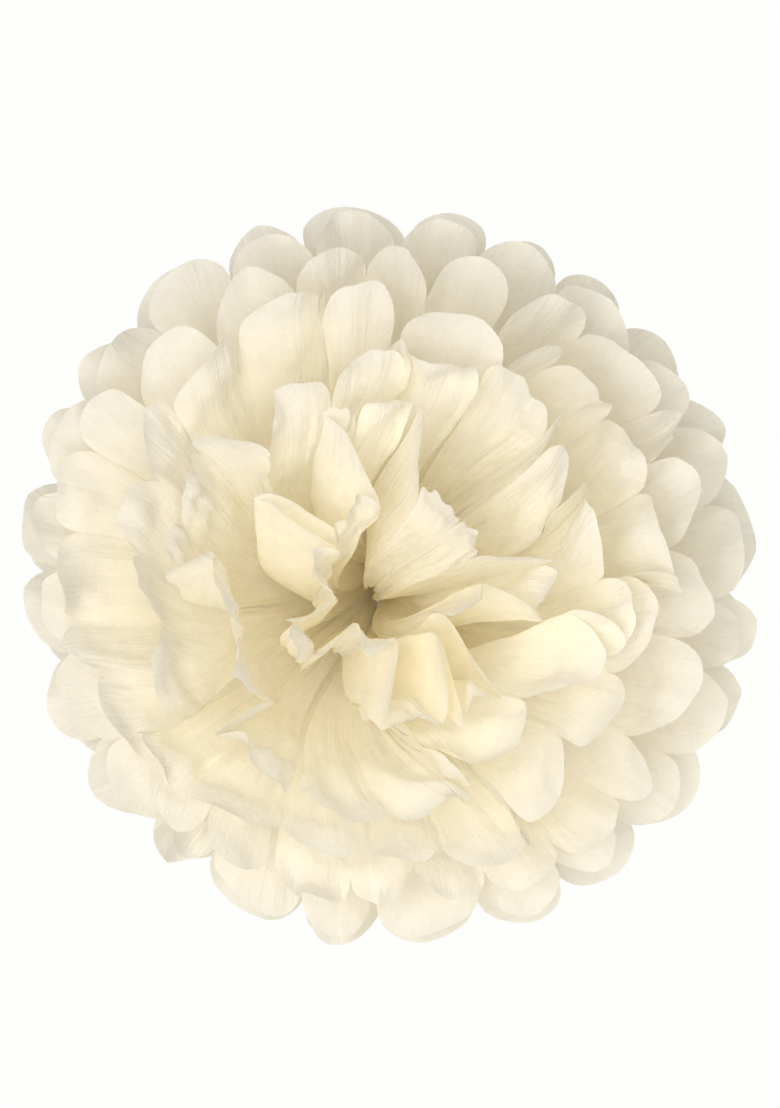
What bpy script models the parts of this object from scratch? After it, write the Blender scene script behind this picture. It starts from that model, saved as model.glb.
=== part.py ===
"""Tissue paper pom pom, 350 mm across: a stack of pleated tissue sheets tied round the middle with wire.

Each sheet is one strip of tissue, pleated like an accordion and cut round at both ends. The wire
gathers all the strips at their middle, so each one opens as two half-fans, to the left and to the
right of the tie. Six sheets are pulled up towards the face (-Y) and six towards the back (+Y), each
a little steeper than the last, and together they make a ball. Metres, +Z up, origin at the tie.
"""

import math
import random

import bmesh
import bpy
from mathutils import Matrix, Vector, noise

# One sheet of tissue, flat
SHEET_LENGTH = 0.350  # lobe tip to lobe tip, which is the ball's diameter
PLEAT_WIDTH = 0.0450
PLEATS = 12
LOBE_DEPTH = 0.0200  # how far the cut goes in from a lobe's tip to a crease
PAPER_WALL = 0.0005  # far over the real 0.03 mm, so that the sheet is a sound solid
LOBE_SEGMENTS = 5

# The gathered neck that the wire holds, as it is on the steepest sheet
NECK_WIDTH = 0.012
NECK_LENGTH = 0.0026
STACK_GAP = 0.0005  # between one sheet and the next at the neck
NECK_NESTING = 1.3  # how far the necks step back, over what a plain bend would need

# How the sheets are pulled apart
LIFT_STEP = math.radians(12.6)  # from one sheet to the next
MIDDLE_GAP = math.radians(0.5)  # between the first sheets of the two sides
FOLD_SHARE = 0.84  # of a step's height that the folds of one sheet may fill
HEART_FOLD = math.radians(6.0)  # what the innermost sheet's folds may rise more than the others'
SEAM_GAP = 0.0020  # left between the two half-fans of a sheet at their lobes
PETAL_CUP = math.radians(2.8)  # how far a petal's tip bulges out of the line of its creases
HIGH_CUP = math.radians(1.0)  # the same for a petal on its sheet's upper side, the other way
NARROW_SHARE = 0.62  # the width of a petal that lies half closed, beside an open one
FOLDS = "fb"  # the letters of the pleats that fold over, in the lists of stands below
BACK_SHARE = 0.30  # how far a fold doubles back under the petal before it, of a petal's width
LEAST_FOLD = 0.07  # what any other fold takes up round the axis, of a petal's width
GATHER_FOLD = math.radians(5.0)  # how deep the pleats still are where they leave the tie
GATHER_REACH = 0.55  # the share of a half-fan over which they open out
UNEVEN_WIDTH = 0.20  # how much wider or narrower a pleat of the innermost sheet may lie, as a share
RIM_UNEVEN = 0.3  # how uneven the outermost sheets are, beside the innermost
UNEVEN_LIFT = math.radians(1.6)  # how far a crease may stand off its sheet's folds
DENT_DEPTH = 0.014  # of the broad dents that the whole ball has, with all its sheets
DENT_SIZE = 0.070
DENT_OUTWARD = 0.3  # the share of a dent's push that may change the ball's outline
RUMPLE_DEPTH = 0.0050  # of the smaller dents, which it has too
RUMPLE_SIZE = 0.038
WAVE_SWAY = math.radians(2.4)  # how far a sheet's petals wave to the side, each sheet in its own way
WAVE_LIFT = math.radians(1.0)  # the same up and down
WAVE_LENGTH = 0.055
WAVE_CHANGE = 9.3  # wave lengths between one sheet's waves and the next one's, so that none are alike
OUT_OF_ROUND = 0.024  # the ball is this much wider one way across its face, and narrower the other
WIDE_WAY = math.radians(-34.0)  # which way, from the right of the face, positive up
LEAN_RIGHT = 0.008  # how far the face's pole is pushed aside, seen from the face
LEAN_UP = 0.007
BOW_LEFT = 0.018  # how far the heart's petals bow aside, halfway between the tie and their tips
BOW_DOWN = 0.019
SETTLE_REACH = 0.060  # from the neck to where the folds stand at their full height
TWIST_REACH = 0.050  # from the neck to where a sheet's twist is whole
BASE_STEEPENING = 0.16  # a sheet leaves the neck this much steeper than it ends
FAN_TURN = math.radians(-16.0)  # the seam between the half-fans leans right of upright

# Where the sheet bends along its length, as shares of the free length of one half
BENDS = (0.13, 0.45, 0.78)

# The wire tie
WIRE_DIAMETER = 0.0010
WIRE_CLEARANCE = 0.0003
TWIST_LENGTH = 0.014
TWIST_TURNS = 3
TWIST_GAP = 0.0004  # between the two twisted ends

# How each pleat stands, from the seam at the bottom to the seam at the top: o lies open, n lies
# half closed, f folds over to the other side of its sheet, so that ff is a standing ridge, and b
# folds over and doubles back, so that two petals overlap. The right half-fan comes first.
FACE_STANDS = (
    ("oofoooofoooo", "offooooofooo"),
    ("foooofooffoo", "oofooofoooff"),
    ("offoofooofof", "foofoofooffo"),
    ("oobooobooofo", "ooobooofoobo"),
    ("oobooboobofo", "obooboofoobo"),
    ("offobobofnof", "fobofoffobno"),
)
BACK_STANDS = (
    ("oofoooofoooo", "offooooofooo"),
    ("oofooofoofoo", "offoooofoofo"),
    ("foffooofoofo", "oofoffooofoo"),
    ("ooboofooobof", "fooobooobooo"),
    ("obooboofoobo", "ooboobofoobo"),
    ("fobofobofoff", "obobnoffofof"),
)
# How far each sheet is twisted round the ball's axis, innermost last
FACE_TWISTS = (0.0, 15.0, -8.0, 12.0, -9.0, 9.0)
BACK_TWISTS = (0.0, -15.0, 8.0, -13.0, 11.0, -14.0)
UNEVEN_SEED = 7  # starts the random widths and heights of the pleats
NOISE_SEED = 1795870987  # starts the noise that the dents, rumples and waves are read from

PAPER_COLOUR = (0.880, 0.790, 0.600, 1.0)
WIRE_COLOUR = (0.650, 0.660, 0.640, 1.0)

ARM = SHEET_LENGTH / 2
STACK_STEP = PAPER_WALL + STACK_GAP
SHEETS_A_SIDE = len(FACE_STANDS)
PLEAT_ARC = PLEAT_WIDTH / ARM


def clear_scene():
    for obj in list(bpy.data.objects):
        bpy.data.objects.remove(obj, do_unlink=True)


def make_collection(name):
    collection = bpy.data.collections.new(name)
    bpy.context.scene.collection.children.link(collection)
    return collection


def make_material(name, colour, roughness, metallic=0.0):
    material = bpy.data.materials.new(name)
    material.use_nodes = True
    shader = material.node_tree.nodes["Principled BSDF"]
    shader.inputs["Base Color"].default_value = colour
    shader.inputs["Roughness"].default_value = roughness
    shader.inputs["Metallic"].default_value = metallic
    return material


def ease(share):
    share = min(max(share, 0.0), 1.0)
    return share * share * (3 - 2 * share)


def ball_frame():
    """Local X along the strip, Y along the seam and Z to the face, turned into the ball's place."""
    face_forward = Matrix.Rotation(math.radians(90), 4, "X")
    return face_forward @ Matrix.Rotation(FAN_TURN, 4, "Z")


# One half-fan: where its creases stand


def sheet_lift(level):
    return (level + 0.5) * LIFT_STEP + MIDDLE_GAP / 2


def steepened(lift, share):
    """The lift at a share of the way out, for a sheet that has the given lift at its lobes."""
    return lift * (1 + BASE_STEEPENING * (1 - share) ** 2 * (1 - lift / math.pi))


def neck_margin(level):
    """How much further out a sheet bends than the steepest one, so that the necks nest."""
    steeper = [steepened(sheet_lift(above), 0) for above in range(level + 1, SHEETS_A_SIDE)]
    return NECK_NESTING * STACK_STEP * sum(math.tan(lift / 2) for lift in steeper)


def neck_half(level):
    return NECK_LENGTH / 2 + neck_margin(level)


def crease_lifts(stands, level, uneven):
    """How steeply each crease stands. A fold takes the paper to the other side of its sheet."""
    rise = LIFT_STEP * FOLD_SHARE / 2 - UNEVEN_LIFT
    heart = HEART_FOLD if level == SHEETS_A_SIDE - 1 else 0.0
    side, lifts = -1, []
    for stand in stands + "o":
        lift = sheet_lift(level) + side * rise + uneven.uniform(-UNEVEN_LIFT, UNEVEN_LIFT)
        lifts.append(lift + (heart if side > 0 else 0.0))
        side = -side if stand in FOLDS else side
    return lifts


def pleat_turns(stands, lifts, level, uneven):
    """The angle that each pleat takes up round the ball's axis. Together they close the seam."""
    closing = math.asin((neck_half(level) - SEAM_GAP / 2) / (ARM * math.cos(sheet_lift(level))))
    spread = math.pi + 2 * closing
    flat = PLEAT_ARC / math.cos(sheet_lift(level))
    loose = UNEVEN_WIDTH * (RIM_UNEVEN + (1 - RIM_UNEVEN) * level / (SHEETS_A_SIDE - 1))
    turns = []
    for stand, lift, next_lift in zip(stands, lifts, lifts[1:]):
        width = PLEAT_ARC / math.cos((lift + next_lift) / 2)
        width *= 1 + uneven.uniform(-loose, loose)
        turns.append({"o": width, "n": NARROW_SHARE * width, "b": -BACK_SHARE * flat}.get(stand, 0.0))
    folds = stands.count("f")
    least = folds * LEAST_FOLD * flat
    crowding = min(1.0, (spread - least) / sum(turns))
    fold_turn = (spread - crowding * sum(turns)) / max(folds, 1)
    turns = [fold_turn if stand == "f" else crowding * turn for stand, turn in zip(stands, turns)]
    return [turn * spread / sum(turns) for turn in turns]


def creases(stands, level, uneven):
    """(turn, lift, cup) of each crease at the lobes and of the pleat after it, bottom seam first."""
    lifts = crease_lifts(stands, level, uneven)
    turns = pleat_turns(stands, lifts, level, uneven)
    turn, side, found = -sum(turns) / 2, -1, []
    for stand, lift, pleat_turn in zip(stands + "f", lifts, turns + [0.0]):
        cup = 0.0 if stand in FOLDS else PETAL_CUP if side < 0 else -HIGH_CUP
        found.append((turn, lift, cup))
        turn += pleat_turn
        side = -side if stand in FOLDS else side
    return found


def gather(pleat, part, share):
    """How far the pleats, still half folded near the tie, lift or lower the paper there."""
    zigzag = (1 - 2 * part) * (1 if pleat % 2 else -1)
    opened = share / GATHER_REACH
    return GATHER_FOLD * zigzag * ease(4 * opened) * (1 - ease(opened))


# One sheet: cut flat, then folded


def cut_flat(bm, neck):
    """The strip before it is pleated: X from tip to tip, Y across the pleats, with round lobes."""
    half_rows = [neck] + [neck + (ARM - neck) * share for share in BENDS] + [ARM]
    rows = [-row for row in reversed(half_rows)] + half_rows
    grid = bmesh.ops.create_grid(bm, x_segments=len(rows) - 1, y_segments=PLEATS, size=0.5)
    for vert in grid["verts"]:
        vert.co.x = rows[round((vert.co.x + 0.5) * (len(rows) - 1))]
        vert.co.y = (vert.co.y + 0.5) * PLEATS
    at_tip = [e for e in bm.edges if min(abs(v.co.x) for v in e.verts) > ARM - neck]
    bmesh.ops.subdivide_edges(bm, edges=at_tip, cuts=LOBE_SEGMENTS - 1)
    for vert in bm.verts:
        if abs(vert.co.x) > ARM - neck:
            pleat = min(int(vert.co.y + 1e-4), PLEATS - 1)
            sweep = (vert.co.y - pleat - 0.5) * math.pi
            vert.co.y = pleat + 0.5 + 0.5 * math.sin(sweep)
            vert.co.x = math.copysign(ARM - LOBE_DEPTH * (1 - math.cos(sweep)), vert.co.x)
    bmesh.ops.triangulate(bm, faces=bm.faces[:])


def folded(along, across, halves, level, twist, face):
    """The place of a point of the flat strip once it is folded: along in metres, across in pleats."""
    lines = halves[0] if along >= 0 else halves[1]
    neck = neck_half(level)
    out = max(abs(along) - neck, 0.0)
    share = out / (ARM - neck)
    settled = ease(out / SETTLE_REACH)
    pleat = min(int(across + 1e-4), PLEATS - 1)
    part = across - pleat
    turn, lift, cup = (a + (b - a) * part for a, b in zip(lines[pleat], lines[pleat + 1]))
    lift += lines[pleat][2] * 4 * part * (1 - part) * share**2
    even_turn = (across / PLEATS - 0.5) * (lines[-1][0] - lines[0][0])
    turn = even_turn + (turn - even_turn) * settled * share
    waves_across, waves_along = across * PLEAT_WIDTH / WAVE_LENGTH, along / WAVE_LENGTH
    wave = noise.noise_vector(Vector((waves_across, waves_along, WAVE_CHANGE * face * (level + 1))))
    inside = min(across, PLEATS - across, 1.0)
    turn += WAVE_SWAY * wave.x * share * inside / math.cos(sheet_lift(level))
    lift = sheet_lift(level) + (lift - sheet_lift(level)) * settled
    lift = steepened(lift, share) + face * gather(pleat, part, share) + WAVE_LIFT * wave.y * settled
    level_out = out * math.cos(lift)
    length = math.copysign(min(abs(along), neck) + level_out * math.cos(turn), along)
    width = (across / PLEATS - 0.5) * (NECK_WIDTH + 2 * neck_margin(level))
    width += level_out * math.sin(turn)
    height = (level + 0.5) * STACK_STEP + out * math.sin(lift)
    twisted = Matrix.Rotation(twist * ease(out / TWIST_REACH), 3, "Z")
    return twisted @ Vector((length, width, face * height))


def pulled_by_hand(point):
    """The unevenness of the ball as a whole, the same for every sheet, so that none cross."""
    share = min(point.length / ARM, 1.0)
    around = math.atan2(point.y, point.x)
    stretch = 1 + OUT_OF_ROUND * math.cos(2 * (around + FAN_TURN - WIDE_WAY)) * share
    height = min(max(point.z / ARM, 0.0), 1.0)
    heart = max(1 - (point.x**2 + point.y**2) / ARM**2, 0.0) ** 2
    bow = math.sin(math.pi * height) ** 2 * heart
    aside = Vector((LEAN_RIGHT, LEAN_UP)) * height**2 - Vector((BOW_LEFT, BOW_DOWN)) * bow
    aside = Matrix.Rotation(-FAN_TURN, 2, "Z") @ aside
    dent = noise.noise_vector(point / DENT_SIZE) * DENT_DEPTH
    dent += noise.noise_vector(point / RUMPLE_SIZE) * RUMPLE_DEPTH
    dent *= share**2
    dent -= dent.project(point) * (1 - DENT_OUTWARD)
    pulled = Vector((point.x * stretch + aside.x, point.y * stretch + aside.y, point.z))
    return pulled + dent


def make_sheet(name, stands, level, face, twist, frame, material, collection):
    """One whole sheet of tissue. face is 1 for a sheet pulled to the face and -1 for the back."""
    uneven = random.Random(UNEVEN_SEED + level * face)
    halves = [creases(half, level, uneven) for half in stands]
    bm = bmesh.new()
    cut_flat(bm, neck_half(level))
    for vert in bm.verts:
        vert.co = folded(vert.co.x, vert.co.y, halves, level, math.radians(twist), face)
        vert.co = pulled_by_hand(vert.co)
    mesh = bpy.data.meshes.new(name)
    bm.to_mesh(mesh)
    bm.free()
    sheet = bpy.data.objects.new(name, mesh)
    sheet.matrix_world = frame
    sheet.data.materials.append(material)
    wall = sheet.modifiers.new("paper_wall", "SOLIDIFY")
    wall.thickness = PAPER_WALL
    wall.offset = 0.0
    collection.objects.link(sheet)
    return sheet


# The tie


def twist_route(strand, start):
    """One of the tie's two ends, wound round the other from where it leaves the loop."""
    steps = 5 * TWIST_TURNS
    points = []
    for step in range(steps + 1):
        angle = 2 * math.pi * TWIST_TURNS * step / steps
        rise = TWIST_LENGTH * step / steps
        points.append(Vector((strand * math.sin(angle), start + rise, strand * math.cos(angle))))
    return points


def loop_route(strand, half_width, half_height):
    """Once round the gathered necks, as a rounded box, from one side of the twist to the other."""
    gap = math.asin((strand / half_height) ** 2)
    steps = 24
    points = []
    for step in range(1, steps):
        angle = gap + (2 * math.pi - 2 * gap) * step / steps
        wide, high = math.cos(angle), math.sin(angle)
        wide = math.copysign(math.sqrt(abs(wide)), wide)
        high = math.copysign(math.sqrt(abs(high)), high)
        points.append(Vector((0.0, half_width * wide, half_height * high)))
    return points


def tie_route():
    """The wire's line: one twisted end in, once round the necks, and the other twisted end out."""
    radius = WIRE_DIAMETER / 2
    margin = PAPER_WALL / 2 + WIRE_CLEARANCE + radius
    half_width = NECK_WIDTH / 2 + neck_margin(0) + 2 * margin
    half_height = (SHEETS_A_SIDE - 0.5) * STACK_STEP + 1.4 * margin
    strand = (WIRE_DIAMETER + TWIST_GAP) / 2
    end = twist_route(strand, half_width + strand)
    other_end = [Vector((-point.x, point.y, -point.z)) for point in end]
    return end[::-1] + loop_route(strand, half_width, half_height) + other_end


def make_tie(name, frame, material, collection):
    curve = bpy.data.curves.new(name, "CURVE")
    curve.dimensions = "3D"
    curve.bevel_depth = WIRE_DIAMETER / 2
    curve.bevel_resolution = 1
    curve.use_fill_caps = True
    route = tie_route()
    spline = curve.splines.new("POLY")
    spline.points.add(len(route) - 1)
    for point, place in zip(spline.points, route):
        point.co = (*place, 1.0)
    tie = bpy.data.objects.new(name, curve)
    tie.matrix_world = frame
    tie.data.materials.append(material)
    collection.objects.link(tie)
    return tie


def main():
    clear_scene()
    noise.seed_set(NOISE_SEED)
    pom_pom = make_collection("tissue_pom_pom")
    paper = make_material("tissue_paper", PAPER_COLOUR, roughness=0.85)
    wire = make_material("tie_wire", WIRE_COLOUR, roughness=0.35, metallic=1.0)
    frame = ball_frame()
    for face, side, stands, twists in (
        (1, "face", FACE_STANDS, FACE_TWISTS),
        (-1, "back", BACK_STANDS, BACK_TWISTS),
    ):
        for level in range(SHEETS_A_SIDE):
            name = f"{side}_sheet_{level + 1}"
            make_sheet(name, stands[level], level, face, twists[level], frame, paper, pom_pom)
    make_tie("wire_tie", frame, wire, pom_pom)


main()
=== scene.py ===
import math
import random

import bmesh
import bpy
from mathutils import Matrix, Vector, noise


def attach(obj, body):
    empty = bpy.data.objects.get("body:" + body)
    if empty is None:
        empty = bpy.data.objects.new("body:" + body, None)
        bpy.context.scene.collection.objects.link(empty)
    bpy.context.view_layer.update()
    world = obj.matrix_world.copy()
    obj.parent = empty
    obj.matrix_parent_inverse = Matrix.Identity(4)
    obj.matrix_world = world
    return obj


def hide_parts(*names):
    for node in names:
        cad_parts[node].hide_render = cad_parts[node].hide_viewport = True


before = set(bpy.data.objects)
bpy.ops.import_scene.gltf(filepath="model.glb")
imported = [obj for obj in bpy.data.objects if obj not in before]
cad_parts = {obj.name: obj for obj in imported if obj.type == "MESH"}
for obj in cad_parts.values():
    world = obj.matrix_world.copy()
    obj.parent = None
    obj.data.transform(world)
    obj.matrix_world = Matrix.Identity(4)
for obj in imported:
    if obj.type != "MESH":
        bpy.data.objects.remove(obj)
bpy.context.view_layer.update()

print("frame loaded:", len(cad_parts), "nodes")

# Small helpers used all over


def hexToLinear(code, alpha=1.0):
    channels = [int(code[i:i + 2], 16) / 255 for i in (1, 3, 5)]
    return [c / 12.92 if c <= 0.04045 else ((c + 0.055) / 1.055) ** 2.4 for c in channels] + [alpha]


def addNode(material, kind, settings=None, **links):  # settings by property or socket name
    node = material.node_tree.nodes.new(kind)
    for key, value in (settings or {}).items():
        if isinstance(key, str) and hasattr(node, key):
            setattr(node, key, value)
        else:
            node.inputs[key].default_value = value
    for key, socket in links.items():
        material.node_tree.links.new(socket, node.inputs[key.replace("_", " ")])
    return node


def ease(x):  # from 0 to 1, soft at both ends
    x = min(max(x, 0.0), 1.0)
    return x * x * (3 - 2 * x)


def easeFrom(start, x):  # the same, but the rise begins at start
    return ease((x - start) / (1 - start))


# The tissue sheets: how they are cut, pleated, gathered and pulled apart

tissue = {
    "sheetLength": 0.350,  # lobe tip to lobe tip, the ball's diameter
    "pleatWidth": 0.045,
    "pleats": 12,
    "lobeDepth": 0.020,
    "neckWidth": 0.012,  # where the wire gathers the sheet
    "neckLength": 0.0026,
    "neckNesting": 1.3,
    "stackStep": 0.001,
    "liftStep": math.radians(12.6),  # from one sheet to the next
    "middleGap": math.radians(0.5),
    "foldShare": 0.84,
    "heartFold": math.radians(6.0),
    "seamGap": 0.002,
    "petalCup": math.radians(2.8),
    "highCup": math.radians(1.0),  # of a petal on its sheet's upper side
    "folds": "fb",
    "backShare": 0.30,  # how far a fold doubles back under the petal before it
    "leastFold": 0.07,
    "narrowShare": 0.62,
    "gatherFold": math.radians(5.0),
    "gatherReach": 0.55,
    "unevenWidth": 0.20,
    "rimUneven": 0.3,
    "unevenLift": math.radians(1.6),
    "unevenSeed": 7,  # starts the random widths and heights of the pleats
    "noiseSeed": 1795870987,  # starts the noise of the dents, rumples and waves
    "dentDepth": 0.014,  # broad dents that the whole ball has
    "dentSize": 0.070,
    "dentOutward": 0.3,
    "rumpleDepth": 0.0050,
    "rumpleSize": 0.038,
    "waveSway": math.radians(2.4),  # each sheet's petals wave in their own way
    "waveLift": math.radians(1.0),
    "waveLength": 0.055,
    "waveChange": 9.3,  # keeps the sheets' waves from being alike
    "outOfRound": 0.024,
    "wideWay": math.radians(-34.0),
    "faceLean": (0.008, 0.007),  # right and up, of the face's pole
    "heartBow": (-0.018, -0.019),  # of the heart's petals, halfway up
    "settleReach": 0.060,
    "twistReach": 0.050,
    "baseSteepening": 0.16,
    "fanTurn": math.radians(-16.0),
    "columnsPerPleat": 18,  # mesh density
    "rowsPerHalf": 40,
}
# From the bottom seam to the top one: o lies open, n half closed, f folds over to the other side
# of its sheet, so ff is a ridge, and b folds over and doubles back, so two petals overlap
faceStands = (
    ("oofoooofoooo", "offooooofooo"),
    ("foooofooffoo", "oofooofoooff"),
    ("offoofooofof", "foofoofooffo"),
    ("oobooobooofo", "ooobooofoobo"),
    ("oobooboobofo", "obooboofoobo"),
    ("offobobofnof", "fobofoffobno"),
)
backStands = (
    ("oofoooofoooo", "offooooofooo"),
    ("oofooofoofoo", "offoooofoofo"),
    ("foffooofoofo", "oofoffooofoo"),
    ("ooboofooobof", "fooobooobooo"),
    ("obooboofoobo", "ooboobofoobo"),
    ("fobofobofoff", "obobnoffofof"),
)
faceTwists = (0.0, 15.0, -8.0, 12.0, -9.0, 9.0)  # degrees, each sheet round the ball's axis
backTwists = (0.0, -15.0, 8.0, -13.0, 11.0, -14.0)

crumple = {
    "swell": 0.0018,  # metres, soft dents
    "swellSize": 0.028,
    "flutter": 0.0036,  # of the lobes' edges
    "flutterSize": 0.016,
    "heartFlutter": 2.0,  # times that in the heart
    "cutUneven": 0.0026,  # the lobes are cut by hand
    "cutSize": 0.35,  # of a pleat
    "crease": 0.0036,  # sharp creases that run out from the tie
    "creaseSize": (0.013, 0.075),
    "crinkle": 0.0011,  # the finest ones
    "crinkleSize": (0.006, 0.022),
    "calmReach": 1 / 2.2,  # share of a half in which swells, creases and crinkles come up
    "flutterFrom": 0.6,  # share of a half where the flutter starts
    "leastReach": 0.02,  # nearer the tie than this, they turn the paper no further
    "tipCurl": math.radians(2.4),
    "curlRange": (-0.6, 1.0),  # times that, from petal to petal
    "curlFrom": 2 / 3,  # share of a half where a tip starts to curl
    "creaseSoftness": 0.10,  # share of a pleat that a fold's round back takes up
}

# How far apart the noise is read, so that neither sheets nor kinds of crumple are alike
apart = {
    "levels": 10.0,
    "sides": {1: 100.0, -1: 200.0},
    "ends": 9.0,
    "creases": 3.1,
    "crinkles": 7.7,
    "flutters": 31.0,
}

armLength = tissue["sheetLength"] / 2
sheetsASide = len(faceStands)
pleatArc = tissue["pleatWidth"] / armLength
nearly = 1e-4  # of a pleat, so that a point on a crease counts with the pleat after it


def sheetLift(level):
    return (level + 0.5) * tissue["liftStep"] + tissue["middleGap"] / 2


def steepened(lift, share):
    return lift * (1 + tissue["baseSteepening"] * (1 - share) ** 2 * (1 - lift / math.pi))


def neckMargin(level):
    steeper = [steepened(sheetLift(above), 0) for above in range(level + 1, sheetsASide)]
    return tissue["neckNesting"] * tissue["stackStep"] * sum(math.tan(lift / 2) for lift in steeper)


def neckHalf(level):
    return tissue["neckLength"] / 2 + neckMargin(level)


def creaseLifts(stands, level, uneven):  # a fold takes the paper to its sheet's other side
    rise = tissue["liftStep"] * tissue["foldShare"] / 2 - tissue["unevenLift"]
    heart = tissue["heartFold"] if level == sheetsASide - 1 else 0.0
    side, lifts = -1, []
    for stand in stands + "o":
        lift = sheetLift(level) + side * rise
        lift += uneven.uniform(-tissue["unevenLift"], tissue["unevenLift"])
        lifts.append(lift + (heart if side > 0 else 0.0))
        side = -side if stand in tissue["folds"] else side
    return lifts


def pleatTurns(stands, lifts, level, uneven):  # together they close the seam
    reach = armLength * math.cos(sheetLift(level))
    spread = math.pi + 2 * math.asin((neckHalf(level) - tissue["seamGap"] / 2) / reach)
    flat = pleatArc / math.cos(sheetLift(level))
    rim = tissue["rimUneven"]
    loose = tissue["unevenWidth"] * (rim + (1 - rim) * level / (sheetsASide - 1))
    turns = []
    for stand, lift, nextLift in zip(stands, lifts, lifts[1:]):
        width = pleatArc / math.cos((lift + nextLift) / 2) * (1 + uneven.uniform(-loose, loose))
        byStand = {"o": width, "n": tissue["narrowShare"] * width, "b": -tissue["backShare"] * flat}
        turns.append(byStand.get(stand, 0.0))
    folds = stands.count("f")
    least = folds * tissue["leastFold"] * flat
    crowding = min(1.0, (spread - least) / sum(turns))
    foldTurn = (spread - crowding * sum(turns)) / max(folds, 1)
    turns = [foldTurn if stand == "f" else crowding * turn for stand, turn in zip(stands, turns)]
    return [turn * spread / sum(turns) for turn in turns]


def creaseLines(stands, level, uneven):  # each crease's turn and lift, and its petal's cup
    lifts = creaseLifts(stands, level, uneven)
    turns = pleatTurns(stands, lifts, level, uneven)
    turn, side, found = -sum(turns) / 2, -1, []
    for stand, lift, pleatTurn in zip(stands + "f", lifts, turns + [0.0]):
        cup = tissue["petalCup"] if side < 0 else -tissue["highCup"]
        found.append((turn, lift, 0.0 if stand in tissue["folds"] else cup))
        turn += pleatTurn
        side = -side if stand in tissue["folds"] else side
    return found


def gather(pleat, part, share):
    zigzag = (1 - 2 * part) * (1 if pleat % 2 else -1)
    opened = share / tissue["gatherReach"]
    return tissue["gatherFold"] * zigzag * ease(4 * opened) * (1 - ease(opened))


def tipCurl(cup, uneven):  # mostly the way that the petal is cupped
    towards = math.copysign(1.0, cup) if cup else 0.0
    return towards * uneven.uniform(*crumple["curlRange"]) * crumple["tipCurl"]


def softPart(part):  # rounds each fold: the part across a pleat, slowed down near both its ends
    soft = crumple["creaseSoftness"]
    if part < soft:
        return part * part / (2 * soft * (1 - soft))
    if part > 1 - soft:
        return 1 - (1 - part) ** 2 / (2 * soft * (1 - soft))
    return (part - soft / 2) / (1 - soft)


def crumpled(along, across, share, level, seed):  # metres off its smooth shape
    width = across * tissue["pleatWidth"]
    broad = noise.noise(Vector((width, along, seed)) / crumple["swellSize"]) * crumple["swell"]
    sizeAcross, sizeAlong = crumple["creaseSize"]
    creaseAt = Vector((width / sizeAcross, along / sizeAlong, seed + apart["creases"]))
    crease = abs(noise.noise(creaseAt)) * crumple["crease"]
    sizeAcross, sizeAlong = crumple["crinkleSize"]
    crinkleAt = Vector((width / sizeAcross, along / sizeAlong, seed + apart["crinkles"]))
    crinkle = noise.noise(crinkleAt) * crumple["crinkle"]
    flutterAt = Vector((width, along, seed + apart["flutters"])) / crumple["flutterSize"]
    livelier = 1 + (crumple["heartFlutter"] - 1) * level / (sheetsASide - 1)
    flutter = noise.noise(flutterAt) * crumple["flutter"] * livelier
    flutter *= easeFrom(crumple["flutterFrom"], share)
    return (broad + crease + crinkle) * ease(share / crumple["calmReach"]) + flutter


# Where a point of the flat strip ends up: along in metres from the tie, across in pleats
def folded(along, across, halves, curls, level, twist, face, seed):
    lines = halves[0] if along >= 0 else halves[1]
    curl = curls[0] if along >= 0 else curls[1]
    neck = neckHalf(level)
    out = max(abs(along) - neck, 0.0)
    share = out / (armLength - neck)
    settled = ease(out / tissue["settleReach"])
    pleat = min(int(across + nearly), tissue["pleats"] - 1)
    part = across - pleat
    (turn, lift, cup), (nextTurn, nextLift, _) = lines[pleat:pleat + 2]
    evenTurn = (across / tissue["pleats"] - 0.5) * (lines[-1][0] - lines[0][0])
    turn = evenTurn + (turn + (nextTurn - turn) * part - evenTurn) * settled * share
    lift += (nextLift - lift) * (part + (softPart(part) - part) * share)
    bulge = cup + curl[pleat] * easeFrom(crumple["curlFrom"], share)
    lift += bulge * 4 * part * (1 - part) * share**2
    waveAcross = across * tissue["pleatWidth"] / tissue["waveLength"]
    waveAlong = along / tissue["waveLength"]
    waveDown = tissue["waveChange"] * face * (level + 1)
    wave = noise.noise_vector(Vector((waveAcross, waveAlong, waveDown)))
    inside = min(across, tissue["pleats"] - across, 1.0)
    turn += tissue["waveSway"] * wave.x * share * inside / math.cos(sheetLift(level))
    lift = sheetLift(level) + (lift - sheetLift(level)) * settled
    lift = steepened(lift, share) + face * gather(pleat, part, share)
    lift += tissue["waveLift"] * wave.y * settled
    lift += crumpled(along, across, share, level, seed) / max(out, crumple["leastReach"])
    levelOut = out * math.cos(lift)
    length = math.copysign(min(abs(along), neck) + levelOut * math.cos(turn), along)
    width = (across / tissue["pleats"] - 0.5) * (tissue["neckWidth"] + 2 * neckMargin(level))
    width += levelOut * math.sin(turn)
    height = (level + 0.5) * tissue["stackStep"] + out * math.sin(lift)
    twisted = Matrix.Rotation(twist * ease(out / tissue["twistReach"]), 3, "Z")
    return twisted @ Vector((length, width, face * height))


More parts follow.
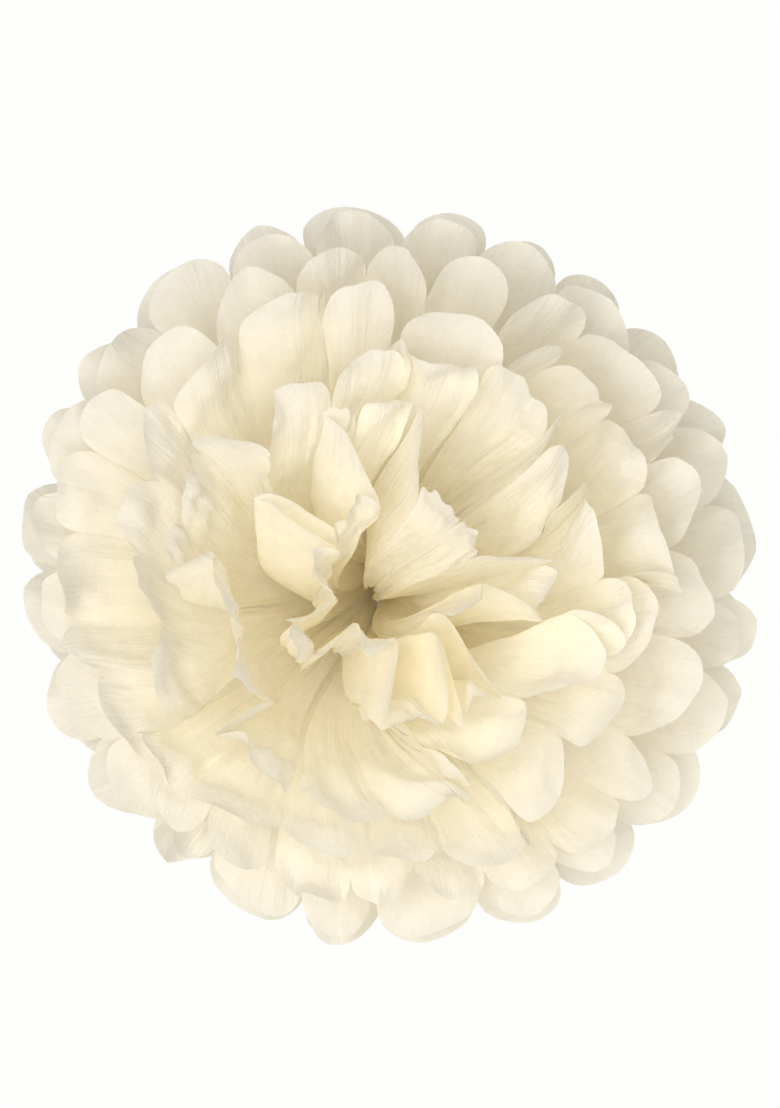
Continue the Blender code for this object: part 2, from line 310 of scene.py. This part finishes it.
def pulledByHand(point):  # the same for every sheet, so that none cross
    share = min(point.length / armLength, 1.0)
    around = math.atan2(point.y, point.x)
    wide = math.cos(2 * (around + tissue["fanTurn"] - tissue["wideWay"]))
    stretch = 1 + tissue["outOfRound"] * wide * share
    height = min(max(point.z / armLength, 0.0), 1.0)
    heart = max(1 - (point.x**2 + point.y**2) / armLength**2, 0.0) ** 2
    aside = Vector(tissue["faceLean"]) * height**2
    aside += Vector(tissue["heartBow"]) * math.sin(math.pi * height) ** 2 * heart
    aside = Matrix.Rotation(-tissue["fanTurn"], 2, "Z") @ aside
    dent = noise.noise_vector(point / tissue["dentSize"]) * tissue["dentDepth"]
    dent += noise.noise_vector(point / tissue["rumpleSize"]) * tissue["rumpleDepth"]
    dent *= share**2
    dent -= dent.project(point) * (1 - tissue["dentOutward"])
    return Vector((point.x * stretch + aside.x, point.y * stretch + aside.y, point.z)) + dent


def layFlat(bm, level, seed):  # a grid, in pleats across and metres along, with round lobes
    neck = neckHalf(level)
    rows, columns = tissue["rowsPerHalf"], tissue["columnsPerPleat"]
    steps = 2 * rows + 2  # two rows cross the neck
    pleats = tissue["pleats"]
    grid = bmesh.ops.create_grid(bm, x_segments=steps, y_segments=pleats * columns, size=0.5)
    for vert in grid["verts"]:
        step = round((vert.co.x + 0.5) * steps) - rows - 1
        column = round((vert.co.y + 0.5) * pleats * columns)
        pleat = min(column // columns, pleats - 1)
        part = (column - pleat * columns) / columns
        sweep = (part - 0.5) * math.pi
        tip = armLength - tissue["lobeDepth"] * (1 - math.cos(sweep))
        end = math.copysign(apart["ends"], step)
        cutAt = Vector((vert.co.y * pleats / crumple["cutSize"], end, seed))
        tip -= crumple["cutUneven"] * abs(noise.noise(cutAt))
        share = (abs(step) - 1) / rows  # 0 at the neck's edge, 1 at the lobe's
        along = neck + (tip - neck) * share if step else 0.0
        rounded = 0.5 + 0.5 * math.sin(sweep)
        part += (rounded - part) * ease(share)  # the columns crowd to the creases near the lobes
        vert.co = (math.copysign(along, step), pleat + part, 0.0)


def makeSheet(name, stands, level, face, twist, material):
    uneven = random.Random(tissue["unevenSeed"] + level * face)
    halves = [creaseLines(half, level, uneven) for half in stands]
    curls = [[tipCurl(cup, uneven) for turn, lift, cup in lines[:-1]] for lines in halves]
    seed = apart["levels"] * level + apart["sides"][face]
    faceForward = Matrix.Rotation(math.radians(90), 4, "X")
    turnToPlace = faceForward @ Matrix.Rotation(tissue["fanTurn"], 4, "Z")
    bm = bmesh.new()
    layFlat(bm, level, seed)
    uvLayer = bm.loops.layers.uv.new("flatSheet")
    for tissueFace in bm.faces:
        tissueFace.smooth = True
        for loop in tissueFace.loops:
            along, across = loop.vert.co.x, loop.vert.co.y
            loop[uvLayer].uv = (across / tissue["pleats"], along / tissue["sheetLength"] + 0.5)
    for vert in bm.verts:
        along, across = vert.co.x, vert.co.y
        vert.co = folded(along, across, halves, curls, level, math.radians(twist), face, seed)
        vert.co = turnToPlace @ pulledByHand(vert.co)
    mesh = bpy.data.meshes.new(name)
    bm.to_mesh(mesh)
    bm.free()
    sheet = bpy.data.objects.new(name, mesh)
    bpy.context.scene.collection.objects.link(sheet)
    sheet.data.materials.append(material)
    return sheet


# Materials

metresToMm = 1000.0

creamTissue = {
    "front": "#fffdf8",  # light that the paper sends back
    "through": "#fff9e1",  # light that comes through it, a little warmer
    "throughShare": 0.55,
    "roughness": 0.7,
    "specular": 0.25,
    "crinkleMm": 9.0,
    "crinkleNoise": {"Detail": 4.0, "Roughness": 0.62},
    "streakMm": (4.0, 55.0),  # across and along the sheet
    "streakNoise": {"Detail": 3.0, "Roughness": 0.6},
    "bumpMm": 1.8,
    "bumpStrength": 0.6,
    "cloudRange": {"From Min": 0.3, "From Max": 0.7, "To Min": 0.9, "To Max": 1.0},
}


def wrinkles(material, fibre):  # the bump of the fibres and of wrinkles that run out from the tie
    sheetSize = (tissue["pleats"] * tissue["pleatWidth"], tissue["sheetLength"])
    scales = [metresToMm * size / mm for size, mm in zip(sheetSize, creamTissue["streakMm"])]
    flat = addNode(material, "ShaderNodeUVMap", {"uv_map": "flatSheet"})
    drawnOut = addNode(
        material, "ShaderNodeMapping", {"Scale": (*scales, 1.0)},
        Vector=flat.outputs["UV"],
    )
    streaks = addNode(
        material, "ShaderNodeTexNoise", {"Scale": 1.0, **creamTissue["streakNoise"]},
        Vector=drawnOut.outputs["Vector"],
    )
    both = addNode(material, "ShaderNodeMath", {"operation": "ADD"})
    material.node_tree.links.new(fibre.outputs["Fac"], both.inputs[0])
    material.node_tree.links.new(streaks.outputs["Fac"], both.inputs[1])
    return addNode(
        material, "ShaderNodeBump",
        {
            "Strength": creamTissue["bumpStrength"],
            "Distance": creamTissue["bumpMm"] / metresToMm,
        },
        Height=both.outputs["Value"],
    )


def cloudyColour(material, fibre):  # fibres lie thicker in some places than in others
    cloudy = addNode(
        material, "ShaderNodeMapRange", creamTissue["cloudRange"],
        Value=fibre.outputs["Fac"],
    )
    colour = addNode(  # by number: the factor, then the two colours to multiply
        material, "ShaderNodeMix",
        {
            "data_type": "RGBA", "blend_type": "MULTIPLY",
            0: 1.0, 6: hexToLinear(creamTissue["through"]),
        },
    )
    material.node_tree.links.new(cloudy.outputs["Result"], colour.inputs[7])
    return colour.outputs[2]


def makeTissueMaterial():  # cream tissue: matt and soft, and glows where light comes through it
    material = bpy.data.materials.new("creamTissuePaper")
    material.use_nodes = True
    tree = material.node_tree
    tree.nodes.clear()
    where = addNode(material, "ShaderNodeTexCoord")
    fibre = addNode(
        material, "ShaderNodeTexNoise",
        {"Scale": metresToMm / creamTissue["crinkleMm"], **creamTissue["crinkleNoise"]},
        Vector=where.outputs["Object"],
    )
    bump = wrinkles(material, fibre)
    front = addNode(
        material, "ShaderNodeBsdfPrincipled",
        {
            "Base Color": hexToLinear(creamTissue["front"]),
            "Roughness": creamTissue["roughness"],
            "Specular IOR Level": creamTissue["specular"],
        },
        Normal=bump.outputs["Normal"],
    )
    through = addNode(
        material, "ShaderNodeBsdfTranslucent",
        Color=cloudyColour(material, fibre), Normal=bump.outputs["Normal"],
    )
    mixed = addNode(material, "ShaderNodeMixShader", {"Fac": creamTissue["throughShare"]})
    tree.links.new(front.outputs["BSDF"], mixed.inputs[1])
    tree.links.new(through.outputs["BSDF"], mixed.inputs[2])
    addNode(material, "ShaderNodeOutputMaterial", Surface=mixed.outputs["Shader"])
    return material


floralWire = {
    "colour": "#aeaba2",
    "roughness": (0.42, 0.62),  # from line to line
    "drawMm": 0.15,  # between the lines left by drawing
}


def makeWireMaterial():  # galvanised floral wire: a soft grey gleam with fine drawn lines
    material = bpy.data.materials.new("galvanisedWire")
    material.use_nodes = True
    material.node_tree.nodes.clear()
    where = addNode(material, "ShaderNodeTexCoord")
    grain = addNode(
        material, "ShaderNodeTexNoise", {"Scale": metresToMm / floralWire["drawMm"]},
        Vector=where.outputs["Object"],
    )
    smoothest, roughest = floralWire["roughness"]
    dull = addNode(
        material, "ShaderNodeMapRange", {"To Min": smoothest, "To Max": roughest},
        Value=grain.outputs["Fac"],
    )
    metal = addNode(
        material, "ShaderNodeBsdfPrincipled",
        {"Base Color": hexToLinear(floralWire["colour"]), "Metallic": 1.0},
        Roughness=dull.outputs["Result"],
    )
    addNode(material, "ShaderNodeOutputMaterial", Surface=metal.outputs["BSDF"])
    return material


def dressPomPom():
    noise.seed_set(tissue["noiseSeed"])  # before the first sheet, so all runs are alike
    tissueMaterial = makeTissueMaterial()
    sides = ((1, "face", faceStands, faceTwists), (-1, "back", backStands, backTwists))
    for face, side, stands, twists in sides:
        for level in range(sheetsASide):
            name = f"{side}Tissue{level + 1}"
            sheet = makeSheet(name, stands[level], level, face, twists[level], tissueMaterial)
            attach(sheet, "root")
            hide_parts(f"{side}_sheet_{level + 1}")
    print("tissue sheets folded:", 2 * sheetsASide)
    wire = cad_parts["wire_tie"]
    wire.data.materials.clear()
    wire.data.materials.append(makeWireMaterial())
    print("wire tie finished")


# Studio: pale floor, plain white surroundings, soft lamps and the camera

studio = {
    "cameraDistance": 1.483,  # from the ball's middle, straight on
    "lens": 100.0,
    "framing": (0.0007, 0.0107),  # how far the view's middle lies right of and above the ball's
    "floorHeight": -0.90,
    "floorSize": 40.0,
    "floorMatt": "#f4f3ef",
    "white": "#fefefc",
    "lightBounces": 24,
    "skyColour": "#f6f8ff",
    "skyStrength": 0.50,
    "lamps": {
        "keyLamp": {"power": 23.5, "colour": "#fffcf6", "place": (-0.3, -1.6, -0.2), "size": 1.2},
        "fillLamp": {"power": 3.0, "colour": "#fffdfd", "place": (1.2, -1.2, 1.2), "size": 1.8},
        "backLamp": {"power": 10.0, "colour": "#f4f7ff", "place": (0.5, 1.8, 0.5), "size": 1.6},
    },
}


def seenWhite(owner, whiteKind, lit, outputKind):  # plain white where it is seen or mirrored
    tree = owner.node_tree
    rays = addNode(owner, "ShaderNodeLightPath")
    seen = addNode(owner, "ShaderNodeMath", {"operation": "MAXIMUM"})
    tree.links.new(rays.outputs["Is Camera Ray"], seen.inputs[0])
    tree.links.new(rays.outputs["Is Glossy Ray"], seen.inputs[1])
    white = addNode(owner, whiteKind, {"Color": hexToLinear(studio["white"])})
    mixed = addNode(owner, "ShaderNodeMixShader", Fac=seen.outputs["Value"])
    tree.links.new(lit, mixed.inputs[1])
    tree.links.new(white.outputs[0], mixed.inputs[2])
    addNode(owner, outputKind, Surface=mixed.outputs["Shader"])


def makeFloor():
    material = bpy.data.materials.new("paleStudioFloor")
    material.use_nodes = True
    material.node_tree.nodes.clear()
    matt = addNode(material, "ShaderNodeBsdfDiffuse", {"Color": hexToLinear(studio["floorMatt"])})
    seenWhite(material, "ShaderNodeEmission", matt.outputs["BSDF"], "ShaderNodeOutputMaterial")
    bm = bmesh.new()
    bmesh.ops.create_grid(bm, x_segments=1, y_segments=1, size=studio["floorSize"] / 2)
    bmesh.ops.translate(bm, verts=bm.verts, vec=(0, 0, studio["floorHeight"]))
    mesh = bpy.data.meshes.new("floor")
    bm.to_mesh(mesh)
    bm.free()
    floor = bpy.data.objects.new("floor", mesh)
    floor.data.materials.append(material)
    bpy.context.scene.collection.objects.link(floor)


def makeSky():
    world = bpy.data.worlds.new("studioLight")
    world.use_nodes = True
    world.node_tree.nodes.clear()
    sky = addNode(
        world, "ShaderNodeBackground",
        {"Color": hexToLinear(studio["skyColour"]), "Strength": studio["skyStrength"]},
    )
    seenWhite(world, "ShaderNodeBackground", sky.outputs["Background"], "ShaderNodeOutputWorld")
    bpy.context.scene.world = world


def addLamp(name, power, colour, place, size):
    lamp = bpy.data.lights.new(name, "AREA")
    lamp.energy = power
    lamp.color = hexToLinear(colour)[:3]
    lamp.size = size
    lampObject = bpy.data.objects.new(name, lamp)
    lampObject.location = place
    lampObject.visible_camera = False
    lampObject.rotation_euler = (-Vector(place)).to_track_quat("-Z", "Y").to_euler()
    bpy.context.scene.collection.objects.link(lampObject)


def makeCamera():
    camera = bpy.data.cameras.new("studioCamera")
    camera.lens = studio["lens"]
    cameraObject = bpy.data.objects.new("studioCamera", camera)
    right, up = studio["framing"]
    cameraObject.location = (right, -studio["cameraDistance"], up)
    cameraObject.rotation_euler = (math.radians(90), 0, 0)
    bpy.context.scene.collection.objects.link(cameraObject)
    bpy.context.scene.camera = cameraObject


def makeStudio():
    scene = bpy.context.scene
    scene.view_settings.view_transform = "Standard"
    for kind in ("max", "diffuse", "transmission"):  # light warms on its way out of the deep folds
        setattr(scene.cycles, f"{kind}_bounces", studio["lightBounces"])
    makeSky()
    makeFloor()
    for name, lamp in studio["lamps"].items():
        addLamp(name, **lamp)
    makeCamera()
    print("studio set")


dressPomPom()
makeStudio()
bpy.context.view_layer.update()
